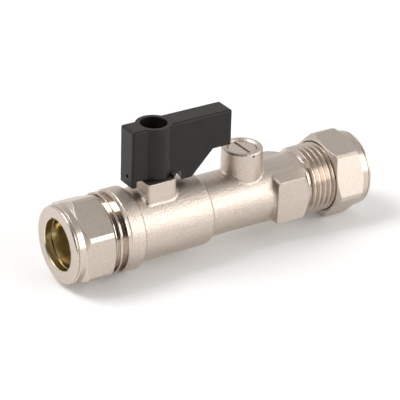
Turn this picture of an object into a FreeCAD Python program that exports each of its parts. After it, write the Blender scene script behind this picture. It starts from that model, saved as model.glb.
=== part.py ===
import FreeCAD, Part
import os
import Sketcher

# A lever isolating valve for 15 mm pipe, with a check insert and a test plug. Millimetres.
# The pipe axis is X and the stem points up, along +Z. The origin is the mouth of the inlet's pipe socket,
# and water flows along +X.

# Driving sizes. Radii unless the note says otherwise.
SIZES = {
    # Compression ends: a pipe socket, its male thread, a nut and an olive
    "pipe_bore": 7.6,  # socket for a 15 mm pipe
    "end_wall": 1.7155,  # metal between the socket and the thread's root
    "thread_depth": 1.162,
    "thread_pitch": 1.814,
    "thread_run": 0.06,  # radial clearance between the thread's crest and the nut
    "thread_lead": 0.45,  # plain end in front of the first turn
    "mouth_rim": 0.3155,  # land left at the rim of the olive's mouth
    "mouth_depth": 1.9,  # length of the mouth's cone
    "nut_length": 12.7,
    "nut_wall": 1.0225,  # metal between the thread's crest and a flat
    "nut_corner_rise": 1.4,  # how far the turned corners stand above the flats
    "nut_collar": 3.1,  # length of the round collar in front of the hexagon
    "nut_face_inset": 0.15,  # how far the face's rim lies below the flats
    "nut_edge": 0.35,  # small bevels
    "nut_round": 0.55,  # rounding of the face's rim
    "nut_chamfer": 1.0,  # length of the hexagon's chamfers
    "nut_lip": 2.2,  # length of the lip that the pipe passes through
    "nut_cone": 1.5,  # the cone that presses on the olive
    "inlet_nut_turn": 25.6,  # degrees from a corner at the front
    "outlet_nut_turn": 47.0,  # degrees from a corner at the front
    "olive_length": 6.4,
    "olive_wall": 1.1,
    "olive_end_wall": 0.35,
    "olive_cone": 1.7,  # length of the taper at each end
    "olive_seat_gap": 0.4,
    "olive_entry": 1.2,  # how far a seated olive reaches into the mouth
    "outlet_back_off": 2.2,  # how far the outlet nut is unscrewed
    # End connector
    "nut_gap": 0.4,  # room between the inlet nut and the flange
    "flange_width": 3.8,
    "flange_inset": 0.2,  # how far the flange lies below the collar
    "flange_step": 0.8,  # the recess next to the nut
    "flange_ridge": 0.6,
    "flange_recess": 1.2,  # depth of the recess
    "flange_groove": 1.7,  # depth of the groove
    "flange_land": 0.5,  # the rim against the body
    "flange_bevel": 0.2,
    "nose_wall": 1.15,  # metal outside the ball chamber's radius
    "nose_fit": 0.05,
    "ring_section": 0.5,  # thickness radius of the connector's O-ring
    "ring_groove_slack": 0.1,
    "stop_back": 0.1,  # how far the inlet's pipe stop lies inside the flange
    # Ball section
    "ball_radius": 8.0,
    "ball_bore": 5.0,
    "ball_room": 0.35,  # clearance around the ball in its chamber
    "seat_overhang": 0.4,  # how far a seat's back lies beyond the ball
    "seat_length": 3.0,
    "seat_fit": 0.05,
    "seat_touch": 0.08,  # running clearance between seat and ball
    "passage_relief": 0.2,  # how much wider the passage is than the ball's bore
    "main_wall": 2.5,
    "collar_wall": 2.68,
    "collar_length": 5.8,
    "collar_land": 0.5,  # turned down to the flange's radius
    "collar_round": 0.9,  # rounding of its edge, as a share of its height
    "hub_offset": 14.1,  # from the body's end to the stem's axis
    "step_offset": 15.2,  # from the stem's axis to the end of the ball section
    "step_round": 0.8,  # rounding of that end, as a share of the step
    # Neck and stem
    "neck_width": 10.4,  # along the pipe
    "neck_depth": 13.0,  # across the pipe
    "neck_length": 5.3,  # height of the stem's bearing
    "neck_edge": 0.9,  # rounding of the two plain corners
    "neck_round": 3.0,  # rounding of the two stop corners
    "neck_foot": 1.2,  # fillet at the neck's foot
    "lug_height": 0.9,
    "lug_ring": 0.25,  # clearance between the stop corners and the hub
    "stop_gap": 0.08,  # clearance between a stop corner and the lever
    "stem_radius": 3.0,
    "stem_fit": 0.05,
    "stem_collar": 3.9,
    "stem_collar_room": 0.2,
    "stem_collar_height": 1.0,
    "stem_lift": 0.2,  # clearance between the stem's collar and the ball
    "washer_height": 0.5,
    "stem_ring_section": 0.5,
    "stem_ring_lower": 1.5,  # height of the lower O-ring above the washer
    "stem_ring_pitch": 2.2,
    "tang_width": 2.9,
    "tang_length": 6.8,
    "slot_width": 3.0,
    "slot_floor": 0.8,  # metal between the ball's slot and its bore
    "tang_gap": 0.15,
    "square": 4.2,  # across the stem's driving square
    "square_length": 6.7,
    "screw_radius": 1.5,
    "screw_thread_length": 5.0,
    # Lever
    "lever_gap": 0.2,  # between the neck and the lever's hub
    "hub_radius": 5.25,
    "hub_height": 15.6,
    "lever_thickness": 7.04,
    "lever_back": 8.75,  # from the stem's axis to the short end
    "lever_reach": 24.3,  # from the stem's axis to the long end
    "lever_arm": 11.15,  # height of the arm at the long end
    "arm_start": 18.2,  # where the slanted underside meets the arm
    "foot_end": 11.5,  # where the slanted underside meets the front foot
    "foot_drop": 2.5,  # how far the front foot hangs below the hub
    "heel_drop": 1.6,  # how far the back foot hangs below the hub
    "skirt_low": 8.25,  # the hollow between the feet, at its mouth
    "skirt_high": 8.1,  # and at its roof
    "skirt_rise": 0.3,  # height of the hollow's roof above the hub's end
    "lever_round": 0.7,
    "access": 3.95,  # the hole that the screw is reached through
    "lever_web": 2.0,  # plastic under the screw
    "socket_fit": 0.03,
    "screw_hole_room": 0.1,
    "screw_head": 2.75,
    "screw_head_height": 2.2,
    "screw_slot": 0.8,
    "screw_slot_depth": 1.0,
    "spring_washer": 3.4,
    "spring_washer_height": 0.5,
    "wire_hole": 0.55,
    "wire_hole_height": 1.25,
    "wire_hole_side": 0.6,
    "wire_hole_depth": 2.0,
    # Check section
    "stop_step": 0.6,  # the shoulder that stops the pipe
    "small_wall": 2.25,
    "cartridge_fit": 0.05,
    "cartridge_land": 1.3,  # metal between the test port and the cartridge
    "housing_length": 11.6,
    "housing_wall": 0.85,
    "inlet_hole": 4.4,
    "seat_wall": 2.2,
    "housing_ring_section": 0.45,
    "housing_ring_offset": 1.1,
    "poppet_nose": 3.15,
    "poppet_nose_length": 0.6,
    "poppet_disc": 5.2,
    "poppet_disc_height": 1.0,
    "poppet_seal_height": 1.0,
    "poppet_touch": 0.05,
    "poppet_stem": 1.2,
    "poppet_tail": 0.9,  # how far the stem stands out of the guide
    "guide_height": 2.0,
    "guide_fit": 0.03,
    "guide_hole": 1.3,
    "guide_hole_ring": 4.3,
    "spring_wire": 0.25,
    "spring_coil": 2.0,
    "spring_turns": 4.5,
    "clip_width": 0.95,
    "clip_room": 0.05,
    "clip_groove": 0.5,
    "clip_reach": 0.75,  # how far the circlip stands into the bore
    "clip_opening": 50.0,  # degrees
    "stop_land": 1.5,
    # Test boss and plug
    "boss_offset": 30.5,  # from the stem's axis
    "boss_height": 7.2,  # above the check section
    "boss_wall": 1.85,
    "boss_round": 0.7,
    "boss_foot": 0.8,
    "boss_mouth": 0.6,  # chamfer at the mouth
    "plug_radius": 4.25,
    "plug_fit": 0.05,
    "plug_sink": 0.55,
    "plug_seat": 0.3,  # height of the plug's seat above the check section
    "plug_nose": 2.5,
    "plug_nose_length": 1.15,
    "plug_ring_section": 0.5,
    "plug_bevel": 0.25,
    "plug_slot": 0.95,
    "plug_slot_depth": 0.8,
    "test_port": 2.2,
    "seal_hole": 0.32,  # the blind hole for a sealing wire, under the boss's rim
    "seal_hole_drop": 1.0,
    "seal_hole_depth": 1.4,
    # Wrench flats, front and back
    "flats_offset": 37.2,  # from the stem's axis
    "flats_length": 11.3,
    "flats_wall": 0.85,  # how far the flats stand above the check section
    "flats_half": 6.7,  # half their height
    "flats_draft": 10.0,  # degrees that their shoulders slope
    "flats_corner": 1.0,  # rounding of the shoulders' ends
    "flats_chamfer": 0.7,
    "flats_round": 0.25,
    "flats_foot": 0.4,
    "relief_length": 0.9,
    "relief_depth": 0.1,
    "outlet_thread": 10.9,
}

# Places and sizes that follow from the driving ones.
PLACES = {
    "thread_root": "dims.pipe_bore + dims.end_wall",
    "thread_crest": "thread_root + dims.thread_depth",
    "thread_flank": "dims.thread_depth * tan(27.5)",
    "thread_flat": "dims.thread_pitch / 2 - thread_flank",
    "mouth": "thread_root - dims.mouth_rim",
    "nut_thread": "thread_crest + dims.thread_run",
    "nut_flat": "thread_crest + dims.nut_wall",
    "nut_corner": "nut_flat + dims.nut_corner_rise",
    "nut_face": "nut_flat - dims.nut_face_inset",
    "nut_sharp": "nut_flat / cos(30)",
    "olive_start": "dims.nut_lip + dims.olive_seat_gap",
    "olive_stop": "olive_start + dims.olive_length",
    "end_reach": "olive_stop - dims.olive_entry",
    "connector_end": "-dims.mouth_depth",
    "inlet_face": "connector_end - end_reach",
    "flange_start": "inlet_face + dims.nut_length + dims.nut_gap",
    "groove_start": "flange_start + dims.flange_step + dims.flange_ridge",
    "body_start": "flange_start + dims.flange_width",
    "inlet_stop": "body_start + dims.stop_back",
    "chamber": "dims.ball_radius + dims.ball_room",
    "passage": "dims.ball_bore + dims.passage_relief",
    "nose": "chamber + dims.nose_wall",
    "nose_bore": "nose + dims.nose_fit",
    "collar": "nose_bore + dims.collar_wall",
    "flange": "collar - dims.flange_inset",
    "main": "chamber + dims.main_wall",
    "hub_x": "body_start + dims.hub_offset",
    "seat_reach": "dims.ball_radius + dims.seat_overhang",
    "seat_front": "seat_reach - dims.seat_length",
    "seat_ball": "dims.ball_radius + dims.seat_touch",
    "seat_low": "passage",
    "seat_low_x": "sqrt(seat_ball * seat_ball - seat_low * seat_low)",
    "seat_high": "sqrt(seat_ball * seat_ball - seat_front * seat_front)",
    "nose_end": "hub_x - seat_reach",
    "collar_end": "body_start + dims.collar_length",
    "step_x": "hub_x + dims.step_offset",
    "boss_x": "hub_x + dims.boss_offset",
    "flats_start": "hub_x + dims.flats_offset",
    "flats_end": "flats_start + dims.flats_length",
    "thread_start": "flats_end + dims.relief_length",
    "body_end": "thread_start + dims.outlet_thread",
    "outlet_face": "body_end + end_reach + dims.outlet_back_off",
    "cartridge": "dims.pipe_bore - dims.stop_step",
    "small": "cartridge + dims.small_wall",
    "flat": "small + dims.flats_wall",
    "shoulder_in": "small / 4",
    "shoulder_rise": "(flat - shoulder_in) * tan(dims.flats_draft)",
    "relief": "thread_root - dims.relief_depth",
    "stem_foot": "dims.ball_radius + dims.stem_lift",
    "washer_low": "stem_foot + dims.stem_collar_height",
    "washer_top": "washer_low + dims.washer_height",
    "neck_top": "washer_top + dims.neck_length",
    "lug_in": "dims.lever_thickness / 2 + dims.stop_gap",
    "lug_arc": "sqrt((dims.hub_radius + dims.lug_ring) ^ 2 - lug_in ^ 2)",
    "lever_low": "neck_top + dims.lever_gap",
    "lever_top": "lever_low + dims.hub_height",
    "arm_low": "lever_top - dims.lever_arm",
    "foot_low": "lever_low - dims.foot_drop",
    "heel_low": "lever_low - dims.heel_drop",
    "skirt_roof": "lever_low + dims.skirt_rise",
    "stem_top": "lever_low + dims.square_length",
    "screw_seat": "stem_top + dims.lever_web",
    "head_low": "screw_seat + dims.spring_washer_height",
    "slot_low": "dims.ball_bore + dims.slot_floor",
    "cartridge_start": "boss_x + dims.test_port + dims.cartridge_land",
    "housing": "cartridge - dims.cartridge_fit",
    "housing_bore": "housing - dims.housing_wall",
    "seat_x": "cartridge_start + dims.seat_wall",
    "housing_end": "cartridge_start + dims.housing_length",
    "housing_ring": "housing - dims.housing_ring_section",
    "housing_ring_x": "cartridge_start + dims.housing_ring_offset",
    "seal_x": "seat_x + dims.poppet_touch",
    "disc_x": "seal_x + dims.poppet_seal_height",
    "disc_back": "disc_x + dims.poppet_disc_height",
    "guide_x": "housing_end - dims.guide_height",
    "guide_bore": "dims.poppet_stem + dims.guide_fit",
    "clip_low": "housing_end",
    "clip_high": "clip_low + dims.clip_width + 2 * dims.clip_room",
    "clip_ring": "cartridge + dims.clip_groove",
    "outlet_stop": "clip_high + dims.stop_land",
    "plug_bore": "dims.plug_radius + dims.plug_fit",
    "boss": "plug_bore + dims.boss_wall",
    "boss_top": "small + dims.boss_height",
    "plug_seat_z": "small + dims.plug_seat",
    "plug_top": "boss_top - dims.plug_sink",
    "plug_low": "plug_seat_z + dims.plug_nose_length",
}

DOC = FreeCAD.newDocument("isolating_valve")
PIECES = []


def fill_sheet(name, cells):
    """A spreadsheet with one aliased row per entry."""
    sheet = DOC.addObject("Spreadsheet::Sheet", name)
    for row, (alias, content) in enumerate(cells.items(), 1):
        sheet.set(f"A{row}", alias)
        sheet.set(f"B{row}", str(content))
        sheet.setAlias(f"B{row}", alias)
    DOC.recompute()
    return sheet


DIMS = fill_sheet("dims", SIZES)
fill_sheet("places", {alias: "=" + formula for alias, formula in PLACES.items()})


def value(expression):
    return float(DIMS.evalExpression(expression))


def keep(piece, label):
    """Names a finished sub-part and marks it for writing."""
    piece.Label = label
    PIECES.append(piece)
    return piece


def new_body(label, x="0"):
    """A sub-part's body, moved along the pipe to x."""
    body = keep(DOC.addObject("PartDesign::Body", label), label)
    body.setExpression("Placement.Base.x", x)
    return body


def new_sketch(body, plane, offset="0"):
    """A sketch on one of the body's own origin planes, moved along the plane's normal."""
    sketch = body.newObject("Sketcher::SketchObject", "sketch")
    support = [item for item in body.Origin.OriginFeatures if item.Role == plane]
    sketch.AttachmentSupport = [(support[0], "")]
    sketch.MapMode = "FlatFace"
    sketch.setExpression("AttachmentOffset.Base.z", offset)
    return sketch


def draw_outline(sketch, points):
    """A closed outline of straight sides. Each corner is held by two expressions."""
    corners = [FreeCAD.Vector(value(across), value(up), 0) for across, up in points]
    first = sketch.GeometryCount
    count = len(points)
    for index in range(count):
        sketch.addGeometry(Part.LineSegment(corners[index], corners[(index + 1) % count]), False)
    for index in range(count):
        following = first + (index + 1) % count
        sketch.addConstraint(Sketcher.Constraint("Coincident", first + index, 2, following, 1))
    for index, (across, up) in enumerate(points):
        corner = corners[index]
        held = sketch.addConstraint(Sketcher.Constraint("DistanceX", -1, 1, first + index, 1, corner.x))
        sketch.setExpression(f"Constraints[{held}]", across)
        held = sketch.addConstraint(Sketcher.Constraint("DistanceY", -1, 1, first + index, 1, corner.y))
        sketch.setExpression(f"Constraints[{held}]", up)
    return sketch


def draw_circle(sketch, radius, across="0", up="0"):
    centre = FreeCAD.Vector(value(across), value(up), 0)
    circle = sketch.addGeometry(Part.Circle(centre, FreeCAD.Vector(0, 0, 1), value(radius)), False)
    held = sketch.addConstraint(Sketcher.Constraint("Radius", circle, value(radius)))
    sketch.setExpression(f"Constraints[{held}]", radius)
    held = sketch.addConstraint(Sketcher.Constraint("DistanceX", -1, 1, circle, 3, centre.x))
    sketch.setExpression(f"Constraints[{held}]", across)
    held = sketch.addConstraint(Sketcher.Constraint("DistanceY", -1, 1, circle, 3, centre.y))
    sketch.setExpression(f"Constraints[{held}]", up)
    return sketch


def rectangle(low_across, high_across, low_up, high_up):
    return [(low_across, low_up), (high_across, low_up), (high_across, high_up), (low_across, high_up)]


def square_about_axis(width, depth):
    return rectangle(f"-{width} / 2", f"{width} / 2", f"-{depth} / 2", f"{depth} / 2")


def hexagon(sharp, turn):
    """Corners around the pipe axis, the first turned up from the front by an angle in degrees."""
    angles = [f"({turn} + {60 * index})" for index in range(6)]
    return [(f"-{sharp} * cos{angle}", f"{sharp} * sin{angle}") for angle in angles]


def volume_of(body):
    return body.Shape.Volume if body.Tip and body.Shape.Solids else 0.0


def finish_feature(body, feature, cut, before):
    """Recomputes, and makes sure that the feature added or removed metal."""
    DOC.recompute()
    change = volume_of(body) - before
    if (change >= 0) == cut:
        raise RuntimeError(f"{body.Label}: {feature.Name} changed the volume by {change:.3f}")
    return feature


def turn(body, points, axis="H_Axis", cut=False, angle="360"):
    """Turns an outline in the XZ plane about the pipe axis, H_Axis, or an upright axis, V_Axis."""
    before = volume_of(body)
    sketch = draw_outline(new_sketch(body, "XZ_Plane"), points)
    kind = "Groove" if cut else "Revolution"
    feature = body.newObject(f"PartDesign::{kind}", kind.lower())
    feature.Profile = sketch
    feature.ReferenceAxis = (sketch, [axis])
    feature.setExpression("Angle", angle)
    return finish_feature(body, feature, cut, before)


def extrude(body, sketch, length, cut=False, both_ways=False, flip=False):
    before = volume_of(body)
    kind = "Pocket" if cut else "Pad"
    feature = body.newObject(f"PartDesign::{kind}", kind.lower())
    feature.Profile = sketch
    feature.setExpression("Length", length)
    feature.SideType = "Symmetric" if both_ways else "One side"
    feature.Reversed = flip
    return finish_feature(body, feature, cut, before)


def round_edges(body, size, wanted, kind="Fillet"):
    """Fillets or chamfers the edges of the body's last feature that a test picks."""
    base = body.Tip
    names = [f"Edge{index}" for index, edge in enumerate(base.Shape.Edges, 1) if wanted(edge)]
    if not names:
        raise RuntimeError(f"{body.Label}: no edge to round")
    feature = body.newObject(f"PartDesign::{kind}", kind.lower())
    feature.Base = (base, names)
    feature.setExpression("Radius" if kind == "Fillet" else "Size", size)
    DOC.recompute()
    return feature


def near(first, second):
    return abs(first - second) < 1e-4


def is_ring(edge, x, radius):
    """True for a circle around the pipe axis."""
    curve = edge.Curve
    return isinstance(curve, Part.Circle) and near(curve.Center.x, x) and near(curve.Radius, radius)


def is_level_ring(edge, z, radius):
    """True for a circle around an upright axis."""
    curve = edge.Curve
    return isinstance(curve, Part.Circle) and near(curve.Center.z, z) and near(curve.Radius, radius)


def is_upright(edge):
    ends = [vertex.Point for vertex in edge.Vertexes]
    return len(ends) == 2 and near(ends[0].x, ends[1].x) and near(ends[0].y, ends[1].y)


def thread_outline(start, end, toward):
    """Corners of a 55 degree thread's turns, as rings, from start toward + or -. The end is left plain."""
    turns = int(value(f"floor((abs({end} - {start}) - dims.thread_lead) / dims.thread_pitch)"))

    def at(distance):
        return f"{start} {toward} ({distance})"

    points = []
    for index in range(turns):
        low = f"{index} * dims.thread_pitch"
        points += [
            (at(low), "places.thread_root"),
            (at(f"{low} + places.thread_flat"), "places.thread_root"),
            (at(f"{low} + places.thread_flat + places.thread_flank"), "places.thread_crest"),
            (at(f"{low} + 2 * places.thread_flat + places.thread_flank"), "places.thread_crest"),
        ]
    points.append((at(f"{turns} * dims.thread_pitch"), "places.thread_root"))
    return points


def ring_groove(middle, floor, top, section):
    """A square groove for an O-ring, as corners from its low side to its high side."""
    half = f"({section} + dims.ring_groove_slack)"
    return [
        (f"{middle} - {half}", top),
        (f"{middle} - {half}", floor),
        (f"{middle} + {half}", floor),
        (f"{middle} + {half}", top),
    ]


def o_ring(label, ring, section, x="0", z="0", along_pipe=False):
    torus = keep(DOC.addObject("Part::Torus", label), label)
    torus.setExpression("Radius1", ring)
    torus.setExpression("Radius2", section)
    if along_pipe:
        torus.Placement.Rotation = FreeCAD.Rotation(FreeCAD.Vector(0, 1, 0), 90)
    torus.setExpression("Placement.Base.x", x)
    torus.setExpression("Placement.Base.z", z)
    DOC.recompute()
    return torus


def make_valve_body():
    """One forging: collar, ball section, neck, check section, test boss, wrench flats and outlet thread."""
    body = new_body("valve_body")
    turn(body, [
        ("places.body_start", "0"),
        ("places.body_start", "places.flange"),
        ("places.body_start + dims.collar_land", "places.flange"),
        ("places.body_start + dims.collar_land + dims.flange_inset", "places.collar"),
        ("places.collar_end", "places.collar"),
        ("places.collar_end", "places.main"),
        ("places.step_x", "places.main"),
        ("places.step_x", "places.small"),
        ("places.flats_end", "places.small"),
        ("places.flats_end", "places.relief"),
        ("places.thread_start", "places.relief"),
        *thread_outline("places.thread_start", "places.body_end", "+"),
        ("places.body_end", "places.thread_root"),
        ("places.body_end", "0"),
    ])
    collar_x, collar = value("places.collar_end"), value("places.collar")
    collar_round = "dims.collar_round * (places.collar - places.main)"
    round_edges(body, collar_round, lambda edge: is_ring(edge, collar_x, collar))
    step_x, main = value("places.step_x"), value("places.main")
    step_round = "dims.step_round * (places.main - places.small)"
    round_edges(body, step_round, lambda edge: is_ring(edge, step_x, main))
    add_wrench_flats(body)
    add_neck(body)
    add_test_boss(body)
    bore_body(body)
    return body


def add_wrench_flats(body):
    """Two upright flats on the round check section. Their shoulders slope, as a forging die needs."""
    sketch = new_sketch(body, "YZ_Plane", "places.flats_start")
    high = "dims.flats_half + places.shoulder_rise"
    upper = [
        ("places.flat", "dims.flats_half"),
        ("places.shoulder_in", high),
        ("-places.shoulder_in", high),
        ("-places.flat", "dims.flats_half"),
    ]
    draw_outline(sketch, [*upper, *[(across, f"-({up})") for across, up in reversed(upper)]])
    extrude(body, sketch, "dims.flats_length")
    start, end = value("places.flats_start"), value("places.flats_end")
    flat, small, half = value("places.flat"), value("places.small"), value("dims.flats_half")

    def is_shoulder_end(edge):
        box = edge.BoundBox
        return near(box.XMin, start) and near(box.XMax, start) and box.YLength > 1 and box.ZLength < half / 2

    def is_flat_border(edge):
        box = edge.BoundBox
        return near(box.YLength, 0) and near(abs(box.YMin), flat) and box.XMin < end - 0.1

    def is_foot(edge):
        ends = [vertex.Point for vertex in edge.Vertexes]
        on_round = all(near(point.y ** 2 + point.z ** 2, small ** 2) for point in ends)
        inside = all(start - 0.1 < point.x < end + 0.1 for point in ends)
        return on_round and inside and edge.BoundBox.XMin < end - 0.1

    round_edges(body, "dims.flats_corner", is_shoulder_end)
    round_edges(body, "dims.flats_round", is_flat_border)
    round_edges(body, "dims.flats_foot", is_foot)
    turn(body, [
        ("places.flats_end", "places.flat - dims.flats_chamfer / 4"),
        ("places.flats_end", "places.flat + 5 * dims.flats_chamfer"),
        ("places.flats_end - 5 * dims.flats_chamfer", "places.flat + 5 * dims.flats_chamfer"),
    ], cut=True)


def add_neck(body):
    """The square neck that carries the stem. Two opposite corners stand up as stops for the lever."""
    low_x, high_x = "places.hub_x - dims.neck_width / 2", "places.hub_x + dims.neck_width / 2"
    low_y, high_y = "-dims.neck_depth / 2", "dims.neck_depth / 2"
    block = draw_outline(new_sketch(body, "XY_Plane"), rectangle(low_x, high_x, low_y, high_y))
    extrude(body, block, "places.neck_top + dims.lug_height")
    half_width, half_depth = value("dims.neck_width / 2"), value("dims.neck_depth / 2")
    hub_x = value("places.hub_x")

    def is_corner(edge, stop):
        if not is_upright(edge):
            return False
        point = edge.Vertexes[0].Point
        across = point.x - hub_x
        on_corner = near(abs(across), half_width) and near(abs(point.y), half_depth)
        return on_corner and (across * point.y < 0) == stop

    round_edges(body, "dims.neck_edge", lambda edge: is_corner(edge, False))
    round_edges(body, "dims.neck_round", lambda edge: is_corner(edge, True))
    milled = new_sketch(body, "XY_Plane", "places.neck_top + dims.lug_height")
    around_stop = [
        ("places.lug_in", "dims.neck_depth"),
        ("places.lug_in", "places.lug_arc"),
        ("places.lug_arc", "places.lug_in"),
        ("dims.neck_width", "places.lug_in"),
    ]
    draw_outline(milled, [
        ("places.hub_x - dims.neck_width", "-dims.neck_depth"),
        *[(f"places.hub_x + {across}", f"-{up}") for across, up in around_stop],
        ("places.hub_x + dims.neck_width", "dims.neck_depth"),
        *[(f"places.hub_x - {across}", up) for across, up in around_stop],
    ])
    extrude(body, milled, "dims.lug_height", cut=True)
    main = value("places.main")

    def is_neck_foot(edge):
        box = edge.BoundBox
        beside = abs(box.Center.x - hub_x) < half_width + 0.01 and abs(box.Center.y) < half_depth + 0.01
        return beside and box.ZMin > 0 and all(
            near(vertex.Point.y ** 2 + vertex.Point.z ** 2, main ** 2) for vertex in edge.Vertexes
        )

    round_edges(body, "dims.neck_foot", is_neck_foot)


def add_test_boss(body):
    sketch = draw_circle(new_sketch(body, "XY_Plane"), "places.boss", "places.boss_x")
    extrude(body, sketch, "places.boss_top")
    top, boss = value("places.boss_top"), value("places.boss")
    round_edges(body, "dims.boss_round", lambda edge: is_level_ring(edge, top, boss))
    boss_x, small = value("places.boss_x"), value("places.small")

    def is_foot(edge):
        return edge.BoundBox.ZMin > 0 and all(
            near((vertex.Point.x - boss_x) ** 2 + vertex.Point.y ** 2, boss ** 2)
            and near(vertex.Point.y ** 2 + vertex.Point.z ** 2, small ** 2)
            for vertex in edge.Vertexes
        )

    round_edges(body, "dims.boss_foot", is_foot)


def bore_body(body):
    """Turned bores along the pipe, then the stem's bearing and the test port."""
    turn(body, [
        ("places.body_start", "0"),
        ("places.body_start", "places.nose_bore"),
        ("places.nose_end + dims.nose_fit", "places.nose_bore"),
        ("places.nose_end + dims.nose_fit", "places.chamber"),
        ("places.hub_x + places.seat_reach", "places.chamber"),
        ("places.hub_x + places.seat_reach", "places.passage"),
        ("places.cartridge_start", "places.passage"),
        ("places.cartridge_start", "places.cartridge"),
        ("places.clip_low", "places.cartridge"),
        ("places.clip_low", "places.clip_ring"),
        ("places.clip_high", "places.clip_ring"),
        ("places.clip_high", "places.cartridge"),
        ("places.outlet_stop", "places.cartridge"),
        ("places.outlet_stop", "dims.pipe_bore"),
        ("places.body_end - dims.mouth_depth", "dims.pipe_bore"),
        ("places.body_end", "places.mouth"),
        ("places.body_end", "0"),
    ], cut=True)
    bore_down(body, "places.hub_x", "dims.stem_radius + dims.stem_fit", "places.neck_top", "dims.ball_bore")
    room = "dims.stem_collar + dims.stem_collar_room"
    bore_down(body, "places.hub_x", room, "places.washer_top", "dims.ball_bore")
    bore_down(body, "places.boss_x", "places.plug_bore", "places.boss_top", "places.plug_seat_z")
    top, bore = value("places.boss_top"), value("places.plug_bore")
    round_edges(body, "dims.boss_mouth", lambda edge: is_level_ring(edge, top, bore), kind="Chamfer")
    bore_down(body, "places.boss_x", "dims.test_port", "places.plug_seat_z", "0")
    hole = new_sketch(body, "XZ_Plane", "places.boss - dims.seal_hole_depth")
    draw_circle(hole, "dims.seal_hole", "places.boss_x", "places.boss_top - dims.seal_hole_drop")
    extrude(body, hole, "dims.seal_hole_depth", cut=True, flip=True)


def bore_down(body, x, radius, top, bottom):
    """An upright hole from one height down to another."""
    sketch = draw_circle(new_sketch(body, "XY_Plane", top), radius, x)
    extrude(body, sketch, f"{top} - ({bottom})", cut=True)


def make_connector():
    """The turned inlet end, screwed into the body against the ball's inlet seat."""
    ridge, ridge_end = "places.flange_start + dims.flange_step", "places.groove_start"
    land = "places.body_start - dims.flange_land"
    recess, groove = "places.flange - dims.flange_recess", "places.flange - dims.flange_groove"
    ring_x = "places.inlet_stop + 2 * dims.ring_section + 2 * dims.ring_groove_slack"
    floor = "places.nose - 2 * dims.ring_section - dims.ring_groove_slack"
    body = new_body("end_connector")
    turn(body, [
        ("places.connector_end", "places.mouth"),
        ("places.connector_end", "places.thread_root"),
        *reversed(thread_outline("places.flange_start", "places.connector_end", "-")),
        ("places.flange_start", recess),
        (ridge, recess),
        (ridge, "places.flange - dims.flange_bevel"),
        (f"{ridge} + dims.flange_bevel", "places.flange"),
        (f"{ridge_end} - dims.flange_bevel", "places.flange"),
        (ridge_end, "places.flange - dims.flange_bevel"),
        (ridge_end, groove),
        (land, groove),
        (land, "places.flange"),
        ("places.body_start", "places.flange"),
        ("places.body_start", "places.nose"),
        *ring_groove(ring_x, floor, "places.nose", "dims.ring_section"),
        ("places.nose_end", "places.nose"),
        ("places.nose_end", "places.passage"),
        ("places.inlet_stop", "places.passage"),
        ("places.inlet_stop", "dims.pipe_bore"),
        ("places.connector_end + dims.mouth_depth", "dims.pipe_bore"),
    ])
    ring = "places.nose - dims.ring_section"
    o_ring("connector_oring", ring, "dims.ring_section", ring_x, along_pipe=True)


def make_seats():
    """Two plastic rings that the ball turns between."""
    for label, side in (("inlet_ball_seat", "-"), ("outlet_ball_seat", "")):
        turn(new_body(label, "places.hub_x"), [
            (f"{side}places.seat_reach", "places.passage"),
            (f"{side}places.seat_reach", "places.chamber - dims.seat_fit"),
            (f"{side}places.seat_front", "places.chamber - dims.seat_fit"),
            (f"{side}places.seat_front", "places.seat_high"),
            (f"{side}places.seat_low_x", "places.seat_low"),
        ])


def make_ball():
    """A sphere with its water way and the slot that the stem turns it by."""
    sphere = DOC.addObject("Part::Sphere", "ball_sphere")
    sphere.setExpression("Radius", "dims.ball_radius")
    way = DOC.addObject("Part::Cylinder", "ball_way")
    way.setExpression("Radius", "dims.ball_bore")
    way.setExpression("Height", "4 * dims.ball_radius")
    way.Placement.Rotation = FreeCAD.Rotation(FreeCAD.Vector(0, 1, 0), 90)
    way.setExpression("Placement.Base.x", "-2 * dims.ball_radius")
    slot = DOC.addObject("Part::Box", "ball_slot")
    slot.setExpression("Length", "dims.slot_width")
    slot.setExpression("Width", "4 * dims.ball_radius")
    slot.setExpression("Height", "dims.ball_radius")
    slot.setExpression("Placement.Base.x", "-dims.slot_width / 2")
    slot.setExpression("Placement.Base.y", "-2 * dims.ball_radius")
    slot.setExpression("Placement.Base.z", "places.slot_low")
    bored = DOC.addObject("Part::Cut", "ball_bored")
    bored.Base, bored.Tool = sphere, way
    ball = keep(DOC.addObject("Part::Cut", "ball"), "ball")
    ball.Base, ball.Tool = bored, slot
    ball.setExpression("Placement.Base.x", "places.hub_x")
    DOC.recompute()


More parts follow.
